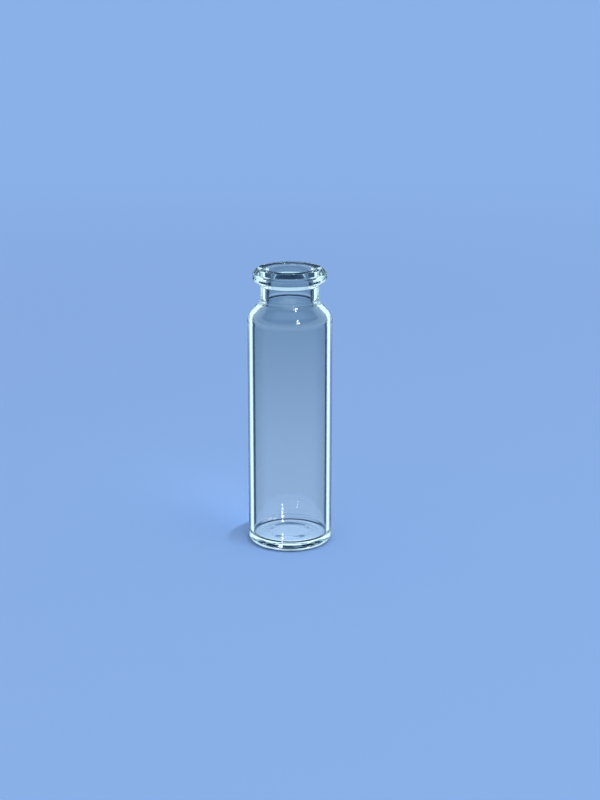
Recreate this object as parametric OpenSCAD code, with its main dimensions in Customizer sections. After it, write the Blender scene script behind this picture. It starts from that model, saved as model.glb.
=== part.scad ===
// Open sample vial of clear tube glass with a crimp finish.
// It is one piece of glass: floor, heel, barrel, shoulder, neck and lip are one closed section, turned
// about the vertical axis. Units are millimetres. The foot stands on z = 0 and the axis is x = y = 0.

/* [Body] */
// Overall height, from the foot to the mouth
height = 75.5; // [55:0.5:100]
// Outside diameter of the barrel
body_d = 22.5; // [20:0.1:28]
// Thickness of the tube wall, in the barrel and the shoulder
wall = 1.2; // [0.8:0.05:1.6]

/* [Base] */
// Thickness of the floor
floor_t = 2.2; // [0.8:0.05:3]
// Outside radius where the floor turns up into the barrel
heel_round = 1.5; // [0.6:0.1:3]
// Inside radius where the barrel turns into the floor
floor_round = 1.2; // [0.4:0.1:3]
// Width of the standing ring, from the heel to where the underside starts to rise
foot_w = 1.4; // [0.4:0.1:2.5]
// Rise of the pushed-up centre of the floor
push_up = 0.4; // [0.1:0.05:1.2]
// Diameter of the pushed-up centre of the floor
push_up_d = 10.4; // [6:0.2:14]
// Radius that softens the edges of the push-up
push_up_round = 4; // [0.5:0.5:8]

/* [Shoulder] */
// Slope of the shoulder, in degrees from the horizontal
shoulder_slope = 47.5; // [30:0.5:60]
// Outside radius where the shoulder turns into the barrel
shoulder_round = 4; // [1.6:0.1:5]
// Outside radius where the neck turns into the shoulder
neck_foot_round = 3; // [0.5:0.1:4]
// Inside radius where the bore opens into the shoulder
bore_foot_round = 0.8; // [0.3:0.1:4]

/* [Neck] */
// Outside diameter of the neck
neck_d = 15.6; // [14.4:0.1:17.5]
// Diameter of the bore through the neck
bore_d = 12.6; // [9:0.1:13.4]
// Height of the neck, from the shoulder's slope to the lip's underside
neck_h = 4.4; // [2.5:0.05:12]

/* [Lip] */
// Outside diameter of the lip
lip_d = 19.5; // [18.4:0.1:22]
// Height of the lip's sloping underside
underside_h = 1.45; // [0.4:0.05:3]
// Height of the lip's upright band
band_h = 2; // [1:0.1:4]
// Height of the bevel above the band
bevel_h = 1.1; // [0.4:0.05:2]
// Outside diameter of the flat mouth face
mouth_face_d = 16.9; // [15:0.1:18]
// Radius where the neck turns into the lip's underside
lip_foot_round = 0.6; // [0.3:0.1:3]
// Radius of the lip's lower edge
lip_low_round = 0.6; // [0.1:0.05:1]
// Radius of the lip's upper edge
lip_top_round = 0.5; // [0.1:0.05:1]
// Radius of the outer edge of the mouth face
mouth_face_round = 0.4; // [0.1:0.05:1]
// Radius of the inner edge of the mouth
mouth_round = 0.3; // [0.1:0.05:0.8]

/* [Hidden] */

// Steps of each rounded corner, and of the turn about the axis
corner_steps = 8;
turn_steps = 180;
// Smallest radius left inside a corner
least_round = 0.3;

// Radii from the axis
body_r = body_d / 2;
inner_r = body_r - wall;
neck_r = neck_d / 2;
bore_r = bore_d / 2;
lip_r = lip_d / 2;
mouth_face_r = mouth_face_d / 2;
push_up_r = push_up_d / 2;
foot_inner_r = body_r - heel_round - foot_w;

// Heights of the outside corners, from the mouth down
bevel_z = height - bevel_h;
band_z = bevel_z - band_h;
lip_foot_z = band_z - underside_h;
neck_z = lip_foot_z - neck_h;
shoulder_z = neck_z - (body_r - neck_r) * tan(shoulder_slope);

// Heights of the inside corners: the shoulder's inside lies one wall below its outside
shoulder_drop = wall / cos(shoulder_slope);
bore_foot_z = neck_z + (neck_r - bore_r) * tan(shoulder_slope) - shoulder_drop;
inner_shoulder_z = neck_z - (inner_r - neck_r) * tan(shoulder_slope) - shoulder_drop;
raised_floor_z = floor_t + push_up;

// Inside radius that keeps the wall even round the shoulder
inner_shoulder_round = max(shoulder_round - wall, least_round);

// Corners of the outside, as [distance from the axis, height, radius], from the axis up to the mouth
outside = [
    [0, push_up, 0],
    [push_up_r, push_up, push_up_round],
    [foot_inner_r, 0, push_up_round],
    [body_r, 0, heel_round],
    [body_r, shoulder_z, shoulder_round],
    [neck_r, neck_z, neck_foot_round],
    [neck_r, lip_foot_z, lip_foot_round],
    [lip_r, band_z, lip_low_round],
    [lip_r, bevel_z, lip_top_round],
    [mouth_face_r, height, mouth_face_round]
];

// Corners of the inside, from the mouth down to the axis
inside = [
    [bore_r, height, mouth_round],
    [bore_r, bore_foot_z, bore_foot_round],
    [inner_r, inner_shoulder_z, inner_shoulder_round],
    [inner_r, floor_t, floor_round],
    [foot_inner_r, floor_t, push_up_round],
    [push_up_r, raised_floor_z, push_up_round],
    [0, raised_floor_z, 0]
];

// Point of a corner, without its radius
function place(corner) = [corner.x, corner.y];

// Direction of a vector, with length 1
function unit(v) = v / norm(v);

// Arc that rounds a corner, tangent to the sides that lead to its two neighbours.
// Its radius is limited so that it takes at most half of the shorter side.
function corner_arc(before, corner, after) =
    let (
        p = place(corner),
        u = unit(place(before) - p),
        v = unit(place(after) - p),
        half_angle = acos(u * v) / 2,
        room = min(norm(place(before) - p), norm(place(after) - p)) / 2,
        r = min(corner.z, room * tan(half_angle)),
        centre = p + unit(u + v) * r / sin(half_angle),
        first = p + u * r / tan(half_angle) - centre,
        first_angle = atan2(first.y, first.x),
        sweep = sign(cross(v, u)) * (180 - 2 * half_angle)
    )
    [for (i = [0:corner_steps]) centre + r * turned(first_angle + sweep * i / corner_steps)];

// Direction at an angle from the x axis
function turned(angle) = [cos(angle), sin(angle)];

// A loop of corners with every corner that has a radius rounded
function rounded(corners) =
    let (n = len(corners))
    [
        for (i = [0:n - 1])
            each corners[i].z > 0
                ? corner_arc(corners[(i + n - 1) % n], corners[i], corners[(i + 1) % n])
                : [place(corners[i])]
    ];

// The whole vial: the closed section of its glass, turned about the axis
module vial() {
    color([0.72, 0.84, 0.93, 0.5])
        rotate_extrude($fn = turn_steps)
            polygon(rounded(concat(outside, inside)));
}

vial();
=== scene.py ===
"""Looks of an open sample vial of clear tube glass with a crimp finish.

The vial is one piece of glass. Its section is a closed line of named corners, each rounded by an arc,
and its surface is that line turned about the vertical axis, with the slight unevenness that flame
forming leaves. Lengths are in metres, +Z is up, and the foot stands on z = 0.
"""

import logging
import math
from dataclasses import dataclass, field
from enum import Enum
from typing import Any

import bpy
import numpy as np
from mathutils import Euler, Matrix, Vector


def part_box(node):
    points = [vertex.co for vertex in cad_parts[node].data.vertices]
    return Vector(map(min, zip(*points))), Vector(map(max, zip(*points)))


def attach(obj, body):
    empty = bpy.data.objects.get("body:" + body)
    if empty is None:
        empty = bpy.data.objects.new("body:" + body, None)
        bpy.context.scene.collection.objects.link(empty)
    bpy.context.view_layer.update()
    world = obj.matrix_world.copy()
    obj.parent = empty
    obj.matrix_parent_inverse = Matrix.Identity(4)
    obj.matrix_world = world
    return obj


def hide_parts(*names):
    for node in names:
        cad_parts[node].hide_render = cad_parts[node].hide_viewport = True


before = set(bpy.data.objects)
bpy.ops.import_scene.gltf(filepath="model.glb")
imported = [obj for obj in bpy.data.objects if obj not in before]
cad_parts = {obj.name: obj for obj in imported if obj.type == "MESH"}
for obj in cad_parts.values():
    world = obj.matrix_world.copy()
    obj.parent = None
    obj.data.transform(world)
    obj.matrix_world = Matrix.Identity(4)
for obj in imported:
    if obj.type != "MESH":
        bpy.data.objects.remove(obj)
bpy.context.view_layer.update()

MM = 0.001
DEGREES = 180.0 / math.pi
CAD_NODE = "vial"
CAD_BODY = "root"
BOUNCES_IN_ALL = 48
BOUNCES_OFF_GLASS = 40
PASSES_THROUGH_GLASS = 24

# A Step is where a soft edge starts and where it is complete. A Band is the Step into a zone, and then
# the Step out of it.
Step = tuple[float, float]
Band = tuple[float, float, float, float]
Triple = tuple[float, float, float]
Colour = tuple[float, float, float, float]
Socket = bpy.types.NodeSocket

log = logging.getLogger("vial")


class Value:
    """A shader socket that carries a number and takes part in Python arithmetic."""

    def __init__(self, graph: "Graph", socket: Socket) -> None:
        """Wraps one output socket of a graph."""
        self.graph = graph
        self.socket = socket

    def _math(self, operation: str, *terms: Any) -> "Value":
        """The result of one Math node on terms, each a Value or a number."""
        node = self.graph.node("ShaderNodeMath", {"operation": operation}, dict(enumerate(terms)))
        return Value(self.graph, node.outputs[0])

    def __add__(self, other: Any) -> "Value":
        """self + other."""
        return self._math("ADD", self, other)

    def __radd__(self, other: Any) -> "Value":
        """other + self."""
        return self._math("ADD", other, self)

    def __sub__(self, other: Any) -> "Value":
        """self - other."""
        return self._math("SUBTRACT", self, other)

    def __rsub__(self, other: Any) -> "Value":
        """other - self."""
        return self._math("SUBTRACT", other, self)

    def __mul__(self, other: Any) -> "Value":
        """self * other."""
        return self._math("MULTIPLY", self, other)

    def __rmul__(self, other: Any) -> "Value":
        """other * self."""
        return self._math("MULTIPLY", other, self)

    def __abs__(self) -> "Value":
        """The size of self without its sign."""
        return self._math("ABSOLUTE", self)

    def over(self, other: Any) -> "Value":
        """The larger of self and other."""
        return self._math("MAXIMUM", self, other)

    def heading(self, ahead: Any) -> "Value":
        """The angle in degrees from ahead towards self."""
        return self._math("ARCTAN2", self, ahead) * DEGREES

    def arcsine(self) -> "Value":
        """The angle in degrees whose sine is self."""
        return self._math("ARCSINE", self) * DEGREES

    def wrap(self, low: float, high: float) -> "Value":
        """self brought into the span from low to high by whole spans."""
        return self._math("WRAP", self, high, low)

    def rise(self, low: float, high: float) -> "Value":
        """A smooth step of self, 0 at low and 1 at high.

        Args:
            low: where the step starts.
            high: where it ends.

        Returns:
            The step.
        """
        node = self.graph.node(
            "ShaderNodeMapRange",
            {"interpolation_type": "SMOOTHSTEP"},
            {"Value": self, "From Min": low, "From Max": high, "To Min": 0.0, "To Max": 1.0},
        )
        return Value(self.graph, node.outputs[0])

    def fall(self, low: float, high: float) -> "Value":
        """A smooth step down of self, 1 at low and 0 at high."""
        return 1.0 - self.rise(low, high)

    def within(self, band: Band) -> "Value":
        """1 within a band of self, rising over its first two values and falling over its last two."""
        return self.rise(*band[:2]) * self.fall(*band[2:])

    def at_least(self, count: int) -> "Value":
        """For a self that counts in whole numbers: 1 from count upwards, and 0 below it."""
        return self.rise(count - 0.8, count - 0.2)

    def fewer_than(self, count: int) -> "Value":
        """For a self that counts in whole numbers: 1 below count, and 0 from it upwards."""
        return 1.0 - self.at_least(count)


class Graph:
    """The node tree of one material or world."""

    def __init__(self, owner: Any) -> None:
        """Takes over a node tree and empties it.

        Args:
            owner: the material or world.
        """
        owner.use_nodes = True
        self.tree = owner.node_tree
        self.tree.nodes.clear()

    def node(
        self, kind: str, settings: dict | None = None, inputs: dict | None = None
    ) -> bpy.types.Node:
        """Adds any node.

        Args:
            kind: the node's type name.
            settings: the node's own settings, which are set first.
            inputs: its sockets by name or index, each a Value, a socket or a plain value.

        Returns:
            The node.
        """
        made = self.tree.nodes.new(kind)
        for name, value in (settings or {}).items():
            setattr(made, name, value)
        for key, value in (inputs or {}).items():
            if isinstance(value, Value):
                value = value.socket
            if isinstance(value, Socket):
                self.tree.links.new(value, made.inputs[key])
            else:
                made.inputs[key].default_value = value
        return made

    def value(
        self, kind: str, output: str, settings: dict | None = None, inputs: dict | None = None
    ) -> Value:
        """Adds any node and wraps one of its number outputs."""
        return Value(self, self.node(kind, settings, inputs).outputs[output])

    def noise(self, place: Socket, scale: float, detail: float) -> Value:
        """Even noise from 0 to 1, with scale waves to the metre and detail finer layers."""
        return self.value(
            "ShaderNodeTexNoise", "Fac", None, {"Vector": place, "Scale": scale, "Detail": detail})

    def path(self, output: str) -> Value:
        """One of the Light Path node's answers: 0 or 1, or a count."""
        return self.value("ShaderNodeLightPath", output)

    def blend(self, share: Any, first: Any, second: Any) -> Socket:
        """Mixes two colours, with share of the second. Each is a colour or a colour socket."""
        made = self.node("ShaderNodeMix", {"data_type": "RGBA"}, {0: share, 6: first, 7: second})
        return made.outputs[2]

    def shader(self, share: Any, first: Socket, second: Socket) -> Socket:
        """Mixes two shaders, with share of the second."""
        return self.node("ShaderNodeMixShader", None, {0: share, 1: first, 2: second}).outputs[0]


@dataclass(frozen=True)
class VialSizes:
    """Sizes of the vial's section, in metres. Height and barrel come from the frame."""

    height: float
    body_r: float
    wall: float = 1.2 * MM
    floor_t: float = 2.2 * MM
    heel_round: float = 1.5 * MM
    floor_round: float = 1.2 * MM
    foot_w: float = 1.4 * MM
    push_up: float = 0.4 * MM
    push_up_r: float = 5.2 * MM
    push_up_round: float = 4.0 * MM
    shoulder_slope: float = math.radians(47.5)
    shoulder_round: float = 4.0 * MM
    neck_foot_round: float = 3.0 * MM
    bore_foot_round: float = 0.8 * MM
    neck_r: float = 7.8 * MM
    bore_r: float = 6.3 * MM
    neck_h: float = 4.4 * MM
    lip_r: float = 9.75 * MM
    underside_h: float = 1.45 * MM
    band_h: float = 2.0 * MM
    bevel_h: float = 1.1 * MM
    mouth_face_r: float = 8.45 * MM
    lip_foot_round: float = 0.6 * MM
    lip_low_round: float = 0.6 * MM
    lip_top_round: float = 0.5 * MM
    mouth_face_round: float = 0.4 * MM
    mouth_round: float = 0.3 * MM

    @classmethod
    def from_frame(cls) -> "VialSizes":
        """The sizes, with the height and the barrel's radius read from the CAD node's box."""
        low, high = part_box(CAD_NODE)
        return cls(height=high.z - low.z, body_r=min(-low.x, high.x, -low.y, high.y))

    @property
    def neck_z(self) -> float:
        """Height of the corner between shoulder and neck."""
        return self.height - self.bevel_h - self.band_h - self.underside_h - self.neck_h

    @property
    def foot_inner_r(self) -> float:
        """Distance from the axis to the inner edge of the standing ring."""
        return self.body_r - self.heel_round - self.foot_w

    def outside(self) -> list[Triple]:
        """Corners of the outside, from the axis under the foot up to the mouth.

        Returns:
            The corners, each (distance from the axis, height, radius).
        """
        shoulder_z = self.neck_z - (self.body_r - self.neck_r) * math.tan(self.shoulder_slope)
        lip_foot_z = self.neck_z + self.neck_h
        band_z = lip_foot_z + self.underside_h
        bevel_z = band_z + self.band_h
        return [
            (0.0, self.push_up, 0.0),
            (self.push_up_r, self.push_up, self.push_up_round),
            (self.foot_inner_r, 0.0, self.push_up_round),
            (self.body_r, 0.0, self.heel_round),
            (self.body_r, shoulder_z, self.shoulder_round),
            (self.neck_r, self.neck_z, self.neck_foot_round),
            (self.neck_r, lip_foot_z, self.lip_foot_round),
            (self.lip_r, band_z, self.lip_low_round),
            (self.lip_r, bevel_z, self.lip_top_round),
            (self.mouth_face_r, self.height, self.mouth_face_round),
        ]

    def inside(self) -> list[Triple]:
        """Corners of the inside, from the mouth down to the axis, one wall inside the outside.

        Returns:
            The corners, each (distance from the axis, height, radius).
        """
        inner_r = self.body_r - self.wall
        slope = math.tan(self.shoulder_slope)
        drop = self.wall / math.cos(self.shoulder_slope)
        bore_foot_z = self.neck_z + (self.neck_r - self.bore_r) * slope - drop
        inner_shoulder_z = self.neck_z - (inner_r - self.neck_r) * slope - drop
        raised_floor_z = self.floor_t + self.push_up
        return [
            (self.bore_r, self.height, self.mouth_round),
            (self.bore_r, bore_foot_z, self.bore_foot_round),
            (inner_r, inner_shoulder_z, self.shoulder_round - self.wall),
            (inner_r, self.floor_t, self.floor_round),
            (self.foot_inner_r, self.floor_t, self.push_up_round),
            (self.push_up_r, raised_floor_z, self.push_up_round),
            (0.0, raised_floor_z, 0.0),
        ]


@dataclass(frozen=True)
class SectionLine:
    """The closed line of the section, from the axis at the underside round to the axis at the floor."""

    sizes: VialSizes
    arc_step: float = math.radians(5.0)
    fewest_steps: int = 2
    guard: float = 0.06 * MM
    longest: float = 2.0 * MM

    def _arc(
        self, before: np.ndarray, corner: np.ndarray, after: np.ndarray, radius: float
    ) -> np.ndarray:
        """Points of the arc that rounds a corner.

        The arc is tangent to both sides. Its centre lies on their bisector, at the radius divided by the
        sine of half the corner's angle, and its points turn evenly about that centre.

        Args:
            before: the corner before it.
            corner: the corner itself.
            after: the corner after it.
            radius: the arc's radius.

        Returns:
            The points, as an array of rows (distance from the axis, height).
        """
        back = (before - corner) / np.linalg.norm(before - corner)
        ahead = (after - corner) / np.linalg.norm(after - corner)
        half = math.acos(float(back @ ahead)) / 2
        centre = corner + (back + ahead) / np.linalg.norm(back + ahead) * radius / math.sin(half)
        first = corner + back * radius / math.tan(half) - centre
        turn = math.pi - 2 * half
        side = math.copysign(1.0, ahead[0] * back[1] - ahead[1] * back[0])
        steps = max(self.fewest_steps, round(turn / self.arc_step))
        angle = math.atan2(first[1], first[0]) + side * turn * np.linspace(0.0, 1.0, steps + 1)
        return centre + radius * np.stack([np.cos(angle), np.sin(angle)], axis=1)

    def _straight(self, start: np.ndarray, end: np.ndarray) -> np.ndarray:
        """Points between two arcs, evenly spaced, with one close to each end to stop the arc's shading.

        Args:
            start: the last point of the arc before.
            end: the first point of the arc after.

        Returns:
            The points between them, none where the arcs all but meet.
        """
        length = float(np.linalg.norm(end - start))
        if length <= 3 * self.guard:
            return np.empty((0, 2))
        spans = max(1, round((length - 2 * self.guard) / self.longest))
        share = np.linspace(self.guard / length, 1 - self.guard / length, spans + 1)[:, None]
        return start + (end - start) * share

    def points(self) -> np.ndarray:
        """The whole line: every corner's arc, joined by straights.

        Returns:
            The points, as an array of rows (distance from the axis, height).
        """
        corners = np.array(self.sizes.outside() + self.sizes.inside())
        place, radius = corners[:, :2], corners[:, 2]
        last = len(corners) - 1
        bends = [place[:1]]
        bends += [self._arc(place[i - 1], place[i], place[i + 1], radius[i]) for i in range(1, last)]
        bends += [place[last:]]
        joined = [bends[0]]
        for before, after in zip(bends[:-1], bends[1:]):
            joined += [self._straight(before[-1], after[0]), after]
        return np.concatenate(joined)


@dataclass(frozen=True)
class Forming:
    """Slight unevenness that the flame and the forming wheels leave, never outwards.

    A wave's phase is an angle in radians, and its pitch is how many radians it turns in a metre of
    height, or for the floor's rings from the axis to the edge of the push-up.
    """

    neck_oval: float = 0.035 * MM
    neck_oval_phase: float = 0.9
    neck_ripple: float = 0.012 * MM
    neck_ripple_pitch: float = 900.0
    neck_start: float = 4.0 * MM
    neck_fade: float = 6.0 * MM
    barrel_bow: float = 0.015 * MM
    barrel_bow_pitch: float = 60.0
    floor_ripple: float = 0.03 * MM
    floor_ripple_pitch: float = 9.0
    floor_start: float = 0.2 * MM
    floor_fade: float = 1.2 * MM
    floor_top: float = 6.0 * MM
    lip_sag: float = 0.03 * MM
    lip_sag_phase: float = 0.4
    lip_depth: float = 4.0 * MM
    axis_fade: float = 2.0 * MM

    def _press(self, height: np.ndarray, turn: np.ndarray, sizes: VialSizes) -> np.ndarray:
        """How far neck and barrel are pressed in.

        The neck takes half of 1 + cos(2 turn) times its oval and half of 1 + cos(5 turn + height) times
        its ripple. The barrel takes half of 1 + cos(3 turn + height) times its bow. A smooth step up the
        height, 3 h^2 - 2 h^3, passes from one to the other.

        Args:
            height: height, by profile point and turn.
            turn: angle about the axis.
            sizes: the vial's sizes.

        Returns:
            The distance towards the axis.
        """
        high = np.clip((height - sizes.neck_z + self.neck_start) / self.neck_fade, 0.0, 1.0)
        high = high * high * (3 - 2 * high)
        oval = 1 + np.cos(2 * turn + self.neck_oval_phase)
        ripple = 1 + np.cos(5 * turn + height * self.neck_ripple_pitch)
        bow = 1 + np.cos(3 * turn + height * self.barrel_bow_pitch)
        neck_press = high * self.neck_oval * oval / 2 + high * self.neck_ripple * ripple / 2
        return neck_press + (1 - high) * self.barrel_bow * bow / 2

    def _rings(
        self, radius: np.ndarray, height: np.ndarray, turn: np.ndarray, sizes: VialSizes
    ) -> np.ndarray:
        """How far the raised floor is lifted by its rings.

        A ring is the cosine of pitch times share plus turn, where share is the distance from the axis
        over the push-up's radius. It dies out at the push-up's edge as the square of 1 - share^2, and
        fades in with height from just above the standing ring.

        Args:
            radius: distance from the axis, by profile point and turn.
            height: height, by profile point and turn.
            turn: angle about the axis.
            sizes: the vial's sizes.

        Returns:
            The distance upwards, below zero in a ring's trough.
        """
        share = np.clip(radius / sizes.push_up_r, 0.0, 1.0)
        inside = np.clip((height - self.floor_start) / self.floor_fade, 0.0, 1.0)
        inside = inside * (height < self.floor_top)
        wave = np.cos(share * self.floor_ripple_pitch + turn) * (1 - share * share) ** 2
        return self.floor_ripple * wave * inside

    def _drop(self, height: np.ndarray, turn: np.ndarray, sizes: VialSizes) -> np.ndarray:
        """How far the lip sags.

        It is half of 1 + cos(3 turn) times the sag, which grows evenly up to the mouth.

        Args:
            height: height, by profile point and turn.
            turn: angle about the axis.
            sizes: the vial's sizes.

        Returns:
            The distance downwards.
        """
        top = np.clip((height - sizes.height + self.lip_depth) / self.lip_depth, 0.0, 1.0)
        wave = 1 + np.cos(3 * turn + self.lip_sag_phase)
        return self.lip_sag * top * wave / 2

    def shaped(
        self, radius: np.ndarray, height: np.ndarray, turn: np.ndarray, sizes: VialSizes
    ) -> tuple[np.ndarray, np.ndarray]:
        """Moves the true surface of revolution by a few hundredths of a millimetre.

        The press moves a point towards the axis, and fades out close to it. The sag lowers a point, and
        the rings raise or lower it.

        Args:
            radius: distance from the axis, by profile point and turn.
            height: height, by profile point and turn.
            turn: angle about the axis.
            sizes: the vial's sizes.

        Returns:
            The new radius and height.
        """
        fade = np.clip(radius / self.axis_fade, 0.0, 1.0)
        press = self._press(height, turn, sizes) * fade
        drop = self._drop(height, turn, sizes)
        rings = self._rings(radius, height, turn, sizes)
        return radius - press, height - drop + rings


@dataclass(frozen=True)
class GlassFinish:
    """Clear, flame-polished borosilicate glass: faint draw lines, flame ripple and handling haze."""

    name: str = "clear_glass"
    ior: float = 1.473
    tint: Colour = (0.985, 0.995, 1.0, 1.0)
    depth_colour: Colour = (0.80, 0.93, 0.98, 1.0)
    depth_density: float = 12.0
    lamp_share: Colour = (0.90, 0.94, 0.97, 1.0)
    haze: float = 0.04
    haze_scale: float = 220.0
    haze_patches: Step = (0.56, 0.75)
    line_scale: float = 1400.0
    line_stretch: Triple = (1.0, 1.0, 0.03)
    line_share: float = 0.5
    swell_scale: float = 160.0
    relief: float = 0.05 * MM
    relief_strength: float = 0.04

    def _relief(self, graph: Graph, place: Socket) -> Socket:
        """The bump of the surface: draw lines, which are noise stretched up the vial, on a slow swell.

        Args:
            graph: the material's nodes.
            place: the Object coordinates.

        Returns:
            The bumped normal's socket.
        """
        stretched = graph.node("ShaderNodeMapping", None, {"Vector": place, "Scale": self.line_stretch})
        lines = graph.noise(stretched.outputs[0], self.line_scale, 2.0)
        swell = graph.noise(place, self.swell_scale, 1.0)
        height = lines * self.line_share + swell
        bump = graph.node(
            "ShaderNodeBump", None,
            {"Strength": self.relief_strength, "Distance": self.relief, "Height": height})
        return bump.outputs[0]

    def material(self) -> bpy.types.Material:
        """Builds the glass.

        Returns:
            The material: a transmitting Principled shader with a thin absorbing volume. Lamps pass it.
        """
        made = bpy.data.materials.new(self.name)
        graph = Graph(made)
        place = graph.node("ShaderNodeTexCoord").outputs["Object"]
        haze = graph.noise(place, self.haze_scale, 4.0).rise(*self.haze_patches) * self.haze
        glass = graph.node(
            "ShaderNodeBsdfPrincipled", None,
            {"Base Color": self.tint, "Transmission Weight": 1.0, "IOR": self.ior,
             "Roughness": haze, "Normal": self._relief(graph, place)})
        lamps = graph.node("ShaderNodeBsdfTransparent", None, {"Color": self.lamp_share})
        surface = graph.shader(graph.path("Is Shadow Ray"), glass.outputs[0], lamps.outputs[0])
        volume = graph.node(
            "ShaderNodeVolumeAbsorption", None,
            {"Color": self.depth_colour, "Density": self.depth_density})
        graph.node("ShaderNodeOutputMaterial", None, {"Surface": surface, "Volume": volume.outputs[0]})
        return made


@dataclass(frozen=True)
class VialGlass:
    """The vial: one piece of glass, a closed section turned about the axis."""

    sizes: VialSizes
    forming: Forming = field(default_factory=Forming)
    finish: GlassFinish = field(default_factory=GlassFinish)
    name: str = "vial_glass"
    columns: int = 360

    def _surface(self) -> tuple[np.ndarray, np.ndarray]:
        """The glass surface on a grid of section point and turn.

        A point is (r cos t, r sin t, z), where r and z follow the section line and t goes once round.

        Returns:
            The points without the two poles, by section point and column, and the section line.
        """
        line = SectionLine(self.sizes).points()
        turn = np.linspace(0.0, 2 * math.pi, self.columns, endpoint=False)[None, :]
        radius = line[1:-1, :1] + 0.0 * turn
        height = line[1:-1, 1:] + 0.0 * turn
        radius, height = self.forming.shaped(radius, height, turn, self.sizes)
        return np.stack([radius * np.cos(turn), radius * np.sin(turn), height], axis=-1), line

    def _faces(self, rows: int) -> tuple[np.ndarray, np.ndarray]:
        """Vertex numbers of the faces: quads between rows, and a fan of triangles at each pole.

        Args:
            rows: how many section points there are between the poles.

        Returns:
            The quads and the triangles, wound so that they face out of the glass.
        """
        here = np.arange(self.columns)
        after = np.roll(here, -1)
        row = np.arange(rows - 1)[:, None] * self.columns
        above = row + self.columns
        quads = np.stack([row + here, row + after, above + after, above + here], axis=-1)
        top = (rows - 1) * self.columns
        bottom_pole = np.full(self.columns, rows * self.columns)
        floor_pole = bottom_pole + 1
        fans = np.concatenate([
            np.stack([bottom_pole, after, here], axis=-1),
            np.stack([floor_pole, top + here, top + after], axis=-1)])
        return quads.reshape(-1, 4), fans

    def _mesh(self) -> bpy.types.Mesh:
        """The surface as a mesh, smooth all over and in its finish.

        Returns:
            The mesh.
        """
        points, line = self._surface()
        poles = np.array([[0.0, 0.0, line[0, 1]], [0.0, 0.0, line[-1, 1]]])
        vertices = np.concatenate([points.reshape(-1, 3), poles])
        quads, fans = self._faces(points.shape[0])
        loops = np.concatenate([quads.ravel(), fans.ravel()])
        sides = np.concatenate([np.full(len(quads), 4), np.full(len(fans), 3)])
        starts = np.concatenate([[0], np.cumsum(sides)[:-1]])
        mesh = bpy.data.meshes.new(self.name)
        mesh.vertices.add(len(vertices))
        mesh.vertices.foreach_set("co", vertices.astype(np.float32).ravel())
        mesh.loops.add(len(loops))
        mesh.loops.foreach_set("vertex_index", loops.astype(np.int32))
        mesh.polygons.add(len(sides))
        mesh.polygons.foreach_set("loop_start", starts.astype(np.int32))
        mesh.update(calc_edges=True)
        mesh.polygons.foreach_set("use_smooth", np.ones(len(sides), bool))
        mesh.materials.append(self.finish.material())
        mesh.validate()
        return mesh

    def build(self) -> bpy.types.Object:
        """Makes the vial and puts it in the frame.

        Returns:
            The vial's object.
        """
        vial = bpy.data.objects.new(self.name, self._mesh())
        bpy.context.scene.collection.objects.link(vial)
        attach(vial, CAD_BODY)
        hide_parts(CAD_NODE)
        return vial


@dataclass(frozen=True)
class Tones:
    """Colours of the studio."""

    pale_blue: Colour = (0.26, 0.44, 0.82, 1.0)
    fill: Colour = (0.62, 0.62, 0.62, 1.0)
    upper: Colour = (0.135, 0.255, 0.44, 1.0)
    lower: Colour = (0.30, 0.46, 0.73, 1.0)
    outline: Colour = (0.26, 0.40, 0.66, 1.0)
    panel: Colour = (1.0, 1.35, 1.5, 1.0)
    soft_panel: Colour = (0.32, 0.56, 0.88, 1.0)
    strip: Colour = (0.7, 1.0, 1.3, 1.0)
    bright: Colour = (0.55, 0.80, 0.98, 1.0)
    paper: Colour = (0.52, 0.76, 1.12, 1.0)
    dim: Colour = (0.045, 0.10, 0.18, 1.0)
    dark: Colour = (0.002, 0.018, 0.055, 1.0)
    lamp_white: Colour = (16.0, 18.0, 19.0, 1.0)


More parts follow.
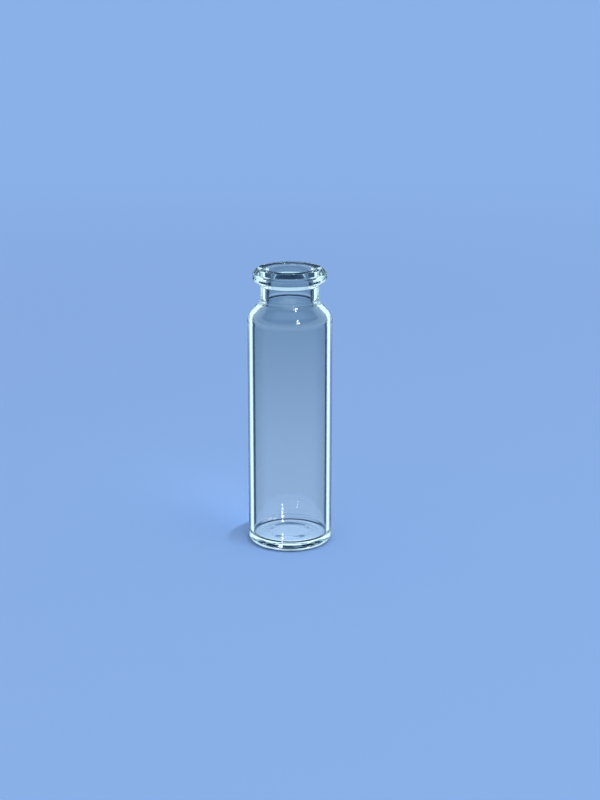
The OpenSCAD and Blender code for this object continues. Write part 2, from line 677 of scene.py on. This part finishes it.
@dataclass(frozen=True)
class Floor:
    """A plain pale floor just under the foot, and clear discs a little above it.

    The discs can't be seen. Each one that a ray passes adds one to the count of clear surfaces that it
    has met, and so the surroundings know how near the foot the ray met the floor.
    """

    colour: Colour
    reach: float = 3.0
    depth: float = 0.05 * MM
    backdrop_fade: Step = (0.15, 0.7)
    disc_reaches: tuple[float, ...] = (125.0 * MM, 80.0 * MM, 17.0 * MM, 11.8 * MM, 10.2 * MM)
    disc_depth: float = 0.042 * MM
    disc_gap: float = 0.008 * MM
    columns: int = 96

    def _disc(
        self, name: str, reach: float, depth: float, material: bpy.types.Material
    ) -> bpy.types.Object:
        """A flat disc on the axis, a little under the foot.

        Args:
            name: the disc's name.
            reach: its radius.
            depth: how far it lies under z = 0.
            material: what it is made of.

        Returns:
            The disc's object.
        """
        turn = np.linspace(0.0, 2 * math.pi, self.columns, endpoint=False)
        rim = np.stack([reach * np.cos(turn), reach * np.sin(turn), 0 * turn - depth], axis=-1)
        mesh = bpy.data.meshes.new(name)
        mesh.from_pydata(rim.tolist(), [], [list(range(len(turn)))])
        mesh.materials.append(material)
        made = bpy.data.objects.new(name, mesh)
        bpy.context.scene.collection.objects.link(made)
        return made

    def _paper(self) -> bpy.types.Material:
        """A dull pale floor for the camera and the lamps, which glass looks through.

        Far from the vial it passes into an even glow of the same colour, so that it has no edge.

        Returns:
            The material.
        """
        made = bpy.data.materials.new("floor_paper")
        graph = Graph(made)
        place = graph.node("ShaderNodeTexCoord").outputs["Object"]
        away = graph.value("ShaderNodeVectorMath", "Value", {"operation": "LENGTH"}, {0: place})
        far = away.rise(*self.backdrop_fade) * graph.path("Is Camera Ray")
        dull = graph.node("ShaderNodeBsdfDiffuse", None, {"Color": self.colour})
        glow = graph.node("ShaderNodeEmission", None, {"Color": self.colour})
        clear = graph.node("ShaderNodeBsdfTransparent")
        seen = graph.shader(far, dull.outputs[0], glow.outputs[0])
        glass_view = graph.path("Is Transmission Ray").over(graph.path("Is Glossy Ray"))
        surface = graph.shader(glass_view, seen, clear.outputs[0])
        graph.node("ShaderNodeOutputMaterial", None, {"Surface": surface})
        return made

    def _clear(self) -> bpy.types.Material:
        """A material that lets everything through.

        Returns:
            The material.
        """
        made = bpy.data.materials.new("clear_disc")
        graph = Graph(made)
        clear = graph.node("ShaderNodeBsdfTransparent")
        graph.node("ShaderNodeOutputMaterial", None, {"Surface": clear.outputs[0]})
        return made

    def build(self) -> None:
        """Makes the floor and the discs."""
        self._disc("floor", self.reach, self.depth, self._paper())
        clear = self._clear()
        for number, reach in enumerate(self.disc_reaches):
            self._disc(f"clear_disc_{number}", reach, self.disc_depth - self.disc_gap * number, clear)


@dataclass(frozen=True)
class Ray:
    """What the surroundings know of a ray that meets them.

    turn goes round from +Y towards +X and rise goes up from level, both in degrees. away and level are
    their sizes without sign. bounces counts how often the glass turned the ray back, faces the surfaces
    of glass that it passed, and discs the floor and its clear discs that it passed.
    """

    turn: Value
    rise: Value
    away: Value
    level: Value
    bounces: Value
    once: Value
    faces: Value
    two_faces: Value
    four_faces: Value
    discs: Value
    near: Value
    close: Value
    under: Value

    @classmethod
    def read(cls, graph: Graph) -> "Ray":
        """Adds the nodes that tell all of it.

        Args:
            graph: the world's nodes.

        Returns:
            The ray.
        """
        way = graph.node("ShaderNodeTexCoord").outputs["Generated"]
        split = graph.node("ShaderNodeSeparateXYZ", None, {0: way})
        x, y, z = (Value(graph, split.outputs[i]) for i in range(3))
        turn = x.heading(y)
        rise = z.arcsine()
        bounces = graph.path("Glossy Depth")
        faces = graph.path("Transmission Depth")
        discs = graph.path("Transparent Depth")
        return cls(
            turn=turn, rise=rise, away=abs(turn), level=abs(rise),
            bounces=bounces, once=bounces.at_least(1) * bounces.fewer_than(2),
            faces=faces, two_faces=faces.at_least(2) * faces.fewer_than(3),
            four_faces=faces.at_least(4) * faces.fewer_than(5),
            discs=discs, near=discs.at_least(4), close=discs.at_least(5), under=discs.at_least(6))


@dataclass(frozen=True)
class Scenery:
    """One part of the surroundings: what glass shows along one kind of ray. Angles are in degrees."""

    graph: Graph
    ray: Ray
    tones: Tones


@dataclass(frozen=True)
class Backdrop(Scenery):
    """The plain backdrop, paler in a band low down."""

    low_band: Band = (-22.8, -20.8, -20.0, -11.0)

    def colour(self) -> Socket:
        """The backdrop's colour."""
        return self.graph.blend(self.ray.rise.within(self.low_band), self.tones.upper, self.tones.lower)


@dataclass(frozen=True)
class FootView(Scenery):
    """The floor round the foot: pale paper, a painted contact shadow ring near the foot and a painted
    white glow under it.
    """

    level_edge: Step = (-30.0, -25.0)
    contact_shadow_edge: Step = (-37.0, -33.0)
    glow_edge: Step = (-44.0, -36.0)

    def glow(self) -> Socket:
        """The painted glow under the foot: paper, and painted white light for rays that go steeply down.
        """
        return self.graph.blend(self.ray.rise.fall(*self.glow_edge), self.tones.paper, self.tones.panel)

    def colour(self, glow: Socket) -> Socket:
        """The floor's colour near the foot, with its painted contact shadow ring.

        Args:
            glow: the colour under the foot.

        Returns:
            The colour's socket.
        """
        graph, ray, tones = self.graph, self.ray, self.tones
        foot = graph.blend(ray.rise.fall(*self.level_edge), tones.paper, tones.lower)
        # painted contact shadow: dark for rays that land close round the foot
        foot = graph.blend(ray.rise.fall(*self.contact_shadow_edge) * ray.close, foot, tones.dark)
        return graph.blend(ray.under, foot, glow)


@dataclass(frozen=True)
class ThroughView(Scenery):
    """Rays that go through the vial without being turned back.

    They see the backdrop, a bright strip just above level, dark columns at even turns, dark bands for
    the bevel and the foot of the neck, and the floor where they land near the foot.
    """

    strip_band: Band = (0.5, 2.0, 5.0, 7.0)
    column_half_pitch: float = 22.5
    column_edge: Step = (15.0, 18.5)
    bevel_band: Band = (27.5, 31.0, 46.0, 50.0)
    neck_foot_band: Band = (-33.0, -31.0, -25.5, -24.0)

    def colour(self, backdrop: Socket, foot: Socket) -> Socket:
        """The colour along such a ray.

        Args:
            backdrop: the backdrop's colour.
            foot: the floor's colour near the foot.

        Returns:
            The colour's socket.
        """
        graph, ray, tones = self.graph, self.ray, self.tones
        strip = ray.rise.within(self.strip_band) * (1.0 - ray.four_faces)
        seen = graph.blend(strip, backdrop, tones.strip)
        across = abs(ray.turn.wrap(-self.column_half_pitch, self.column_half_pitch))
        seen = graph.blend(across.rise(*self.column_edge) * ray.four_faces, seen, tones.dark)
        bevel = ray.level.within(self.bevel_band) * ray.discs.fewer_than(3)
        neck_foot = ray.rise.within(self.neck_foot_band) * ray.discs.fewer_than(2)
        seen = graph.blend(bevel.over(neck_foot), seen, tones.dark)
        return graph.blend(ray.near * ray.four_faces, seen, foot)


@dataclass(frozen=True)
class RimView(Scenery):
    """Rays that pass only two faces without being turned back, at the lip's rim and the foot's edge."""

    outline_edge: Step = (-24.0, -18.0)
    side_edge: Step = (13.0, 18.0)
    bright_band: Band = (-8.0, -5.0, 24.0, 27.0)
    dark_band: Band = (28.0, 31.0, 60.0, 66.0)

    def colour(self, backdrop: Socket) -> Socket:
        """The colour along such a ray.

        Args:
            backdrop: the backdrop's colour.

        Returns:
            The colour's socket.
        """
        graph, ray, tones = self.graph, self.ray, self.tones
        seen = graph.blend(ray.rise.fall(*self.outline_edge), backdrop, tones.outline)
        seen = graph.blend(ray.away.rise(*self.side_edge), seen, tones.panel)
        seen = graph.blend(ray.rise.within(self.bright_band), seen, tones.bright)
        return graph.blend(ray.level.within(self.dark_band), seen, tones.dark)


@dataclass(frozen=True)
class WallView(Scenery):
    """Rays turned back once within the glass, which draw the lines down the barrel's sides."""

    side_edge: Step = (24.0, 27.0)
    thick_band: Band = (3.0, 6.0, 14.0, 17.0)
    thick_edge: Step = (-14.2, -13.6)
    dim_edge: Step = (46.0, 52.0)
    front_edge: Step = (88.0, 104.0)
    level_band: Band = (-6.0, -3.0, 35.0, 40.0)
    low_edge: Step = (-31.0, -27.5)
    high_edge: Step = (8.0, 12.0)
    middle_edge: Step = (6.0, 10.0)

    def colour(self) -> Socket:
        """The colour along such a ray: white panels at the sides, dim beyond them, dark high and low.

        Returns:
            The colour's socket.
        """
        graph, ray, tones = self.graph, self.ray, self.tones
        thick = ray.away.within(self.thick_band) * ray.rise.rise(*self.thick_edge)
        seen = graph.blend(ray.away.rise(*self.side_edge).over(thick), tones.outline, tones.panel)
        seen = graph.blend(ray.away.rise(*self.dim_edge), seen, tones.dim)
        seen = graph.blend(ray.away.rise(*self.front_edge), seen, tones.soft_panel)
        seen = graph.blend(ray.rise.within(self.level_band), seen, tones.panel)
        seen = graph.blend(ray.rise.fall(*self.low_edge), seen, tones.dark)
        high_middle = ray.rise.rise(*self.high_edge) * ray.away.fall(*self.middle_edge)
        return graph.blend(high_middle, seen, tones.dark)


@dataclass(frozen=True)
class DeepView(Scenery):
    """Rays turned back twice or more within the glass, in the lip, the shoulder and the foot."""

    level_edge: Step = (-15.0, -13.0)
    steep_edge: Step = (-25.0, -21.0)
    low_edge: Step = (-22.0, -18.0)
    high_edge: Step = (6.0, 9.0)
    middle_edge: Step = (20.0, 26.0)
    top_edge: Step = (26.0, 30.0)

    def colour(self) -> Socket:
        """The colour along such a ray: white panels, with dark low and high in the middle.

        Returns:
            The colour's socket.
        """
        graph, ray, tones = self.graph, self.ray, self.tones
        white = ray.rise.rise(*self.level_edge).over(ray.rise.fall(*self.steep_edge))
        middle = ray.away.fall(*self.middle_edge)
        foot = graph.blend(ray.bounces.at_least(3), tones.panel, tones.dark)
        seen = graph.blend(white, tones.outline, tones.panel)
        seen = graph.blend(ray.rise.fall(*self.low_edge) * middle, seen, tones.dark)
        seen = graph.blend(ray.near, seen, foot)
        seen = graph.blend(ray.rise.rise(*self.high_edge) * middle, seen, tones.dark)
        seen = graph.blend(ray.rise.rise(*self.top_edge), seen, tones.dark)
        seen = graph.blend(ray.two_faces, tones.upper, seen)
        return graph.blend(ray.faces.at_least(5), seen, tones.paper)


@dataclass(frozen=True)
class BeadedStreak(Scenery):
    """A short streak of light in beads, which the barrel shows low down."""

    side_band: Band = (-160.2, -159.2, -156.6, -155.6)
    tall_band: Band = (-20.7, -20.6, -20.1, -20.0)
    short_band: Band = (-21.4, -21.3, -21.1, -21.0)
    beads_a_degree: float = 7.0
    bead_edge: Step = (0.15, 0.45)

    def share(self) -> Value:
        """Where the streak is, 0 to 1.

        Returns:
            The share.
        """
        rise = self.ray.rise
        bead = (rise * self.beads_a_degree).wrap(0.0, 1.0).rise(*self.bead_edge)
        spans = rise.within(self.tall_band).over(rise.within(self.short_band))
        return self.ray.turn.within(self.side_band) * bead * spans * self.ray.once


@dataclass(frozen=True)
class Surroundings:
    """The world: plain and pale for the camera and for fill, and a backdrop with panels for glass."""

    tones: Tones

    def _in_glass(self, graph: Graph) -> Socket:
        """What glass shows, by the ray's direction and by what it has met.

        Args:
            graph: the world's nodes.

        Returns:
            The colour's socket.
        """
        tones = self.tones
        ray = Ray.read(graph)
        parts = (graph, ray, tones)
        backdrop = Backdrop(*parts).colour()
        foot = FootView(*parts)
        glow = foot.glow()
        through = ThroughView(*parts).colour(backdrop, foot.colour(glow))
        direct = graph.blend(ray.two_faces, through, RimView(*parts).colour(backdrop))
        seen = graph.blend(ray.bounces.at_least(2), direct, DeepView(*parts).colour())
        seen = graph.blend(ray.once, seen, tones.dim)
        seen = graph.blend(ray.once * ray.two_faces, seen, WallView(*parts).colour())
        # painted glow: white light under the foot for rays that land there
        seen = graph.blend(ray.under * (1.0 - ray.two_faces), seen, glow)
        return graph.blend(BeadedStreak(*parts).share(), seen, tones.lamp_white)

    def build(self) -> None:
        """Makes the world."""
        world = bpy.data.worlds.new("studio")
        bpy.context.scene.world = world
        graph = Graph(world)
        glass_view = graph.path("Is Glossy Ray").over(graph.path("Is Transmission Ray"))
        plain = graph.blend(graph.path("Is Camera Ray"), self.tones.fill, self.tones.pale_blue)
        seen = graph.blend(glass_view, plain, self._in_glass(graph))
        light = graph.node("ShaderNodeBackground", None, {"Color": seen})
        graph.node("ShaderNodeOutputWorld", None, {"Surface": light.outputs[0]})


class LampUse(Enum):
    """What a lamp is there for."""

    LIGHT = "light"
    GLINT = "glint"


@dataclass(frozen=True)
class Lamp:
    """A round soft lamp. It lights the scene, or is there only for glass to show."""

    name: str
    place: Triple
    across: float
    power: float
    use: LampUse

    def build(self, target: Vector) -> bpy.types.Object:
        """Makes the lamp.

        Args:
            target: the point that it is aimed at.

        Returns:
            The lamp's object.
        """
        data = bpy.data.lights.new(self.name, "AREA")
        data.shape = "DISK"
        data.size = self.across
        data.energy = self.power
        made = bpy.data.objects.new(self.name, data)
        made.location = self.place
        made.rotation_euler = (target - Vector(self.place)).to_track_quat("-Z", "Y").to_euler()
        made.visible_camera = False
        made.visible_diffuse = self.use is LampUse.LIGHT
        made.visible_glossy = self.use is LampUse.GLINT
        made.visible_transmission = self.use is LampUse.GLINT
        bpy.context.scene.collection.objects.link(made)
        return made


@dataclass(frozen=True)
class Camera:
    """A long lens, a little above the vial and looking down at it. Its dip is in degrees."""

    place: Triple = (2.7 * MM, -437.0 * MM, 168.79 * MM)
    dip: float = 16.5
    lens: float = 76.5
    sensor: float = 36.0
    nearest: float = 0.01
    furthest: float = 50.0

    def build(self) -> bpy.types.Object:
        """Makes the camera and sets it as the scene's.

        Returns:
            The camera's object.
        """
        data = bpy.data.cameras.new("camera")
        data.sensor_width = self.sensor
        data.lens = self.lens
        data.clip_start = self.nearest
        data.clip_end = self.furthest
        made = bpy.data.objects.new("camera", data)
        made.location = self.place
        made.rotation_euler = Euler((math.radians(90.0 - self.dip), 0.0, 0.0))
        bpy.context.scene.collection.objects.link(made)
        bpy.context.scene.camera = made
        return made


@dataclass(frozen=True)
class Studio:
    """Floor, surroundings, lamps and camera. None of it is part of the vial."""

    sizes: VialSizes
    tones: Tones = field(default_factory=Tones)
    camera: Camera = field(default_factory=Camera)
    lamps: tuple[Lamp, ...] = (
        Lamp("key_lamp", (0.55, -0.55, 1.70), 0.90, 14.2, LampUse.LIGHT),
        Lamp("spot_lamp", (0.22, -0.42, 0.48), 0.11, 0.8, LampUse.GLINT),
        Lamp("high_spot", (0.19, -0.36, 0.62), 0.05, 0.25, LampUse.GLINT),
        Lamp("top_spot", (0.20, -0.30, 0.74), 0.07, 0.4, LampUse.GLINT),
    )

    def build(self) -> None:
        """Makes the whole studio, with the lamps aimed at the middle of the vial."""
        Floor(self.tones.pale_blue).build()
        Surroundings(self.tones).build()
        middle = Vector((0.0, 0.0, self.sizes.height / 2))
        for lamp in self.lamps:
            lamp.build(middle)
        self.camera.build()


def main() -> None:
    """Builds the vial and the studio, and logs the vial's face count."""
    logging.basicConfig(level=logging.INFO, format="%(name)s: %(message)s")
    scene = bpy.context.scene
    scene.view_settings.view_transform = "Standard"
    scene.cycles.max_bounces = BOUNCES_IN_ALL
    scene.cycles.glossy_bounces = BOUNCES_OFF_GLASS
    scene.cycles.transmission_bounces = PASSES_THROUGH_GLASS
    sizes = VialSizes.from_frame()
    vial = VialGlass(sizes).build()
    log.info("%s: %d faces", vial.name, len(vial.data.polygons))
    Studio(sizes).build()


if __name__ == "__main__":
    main()
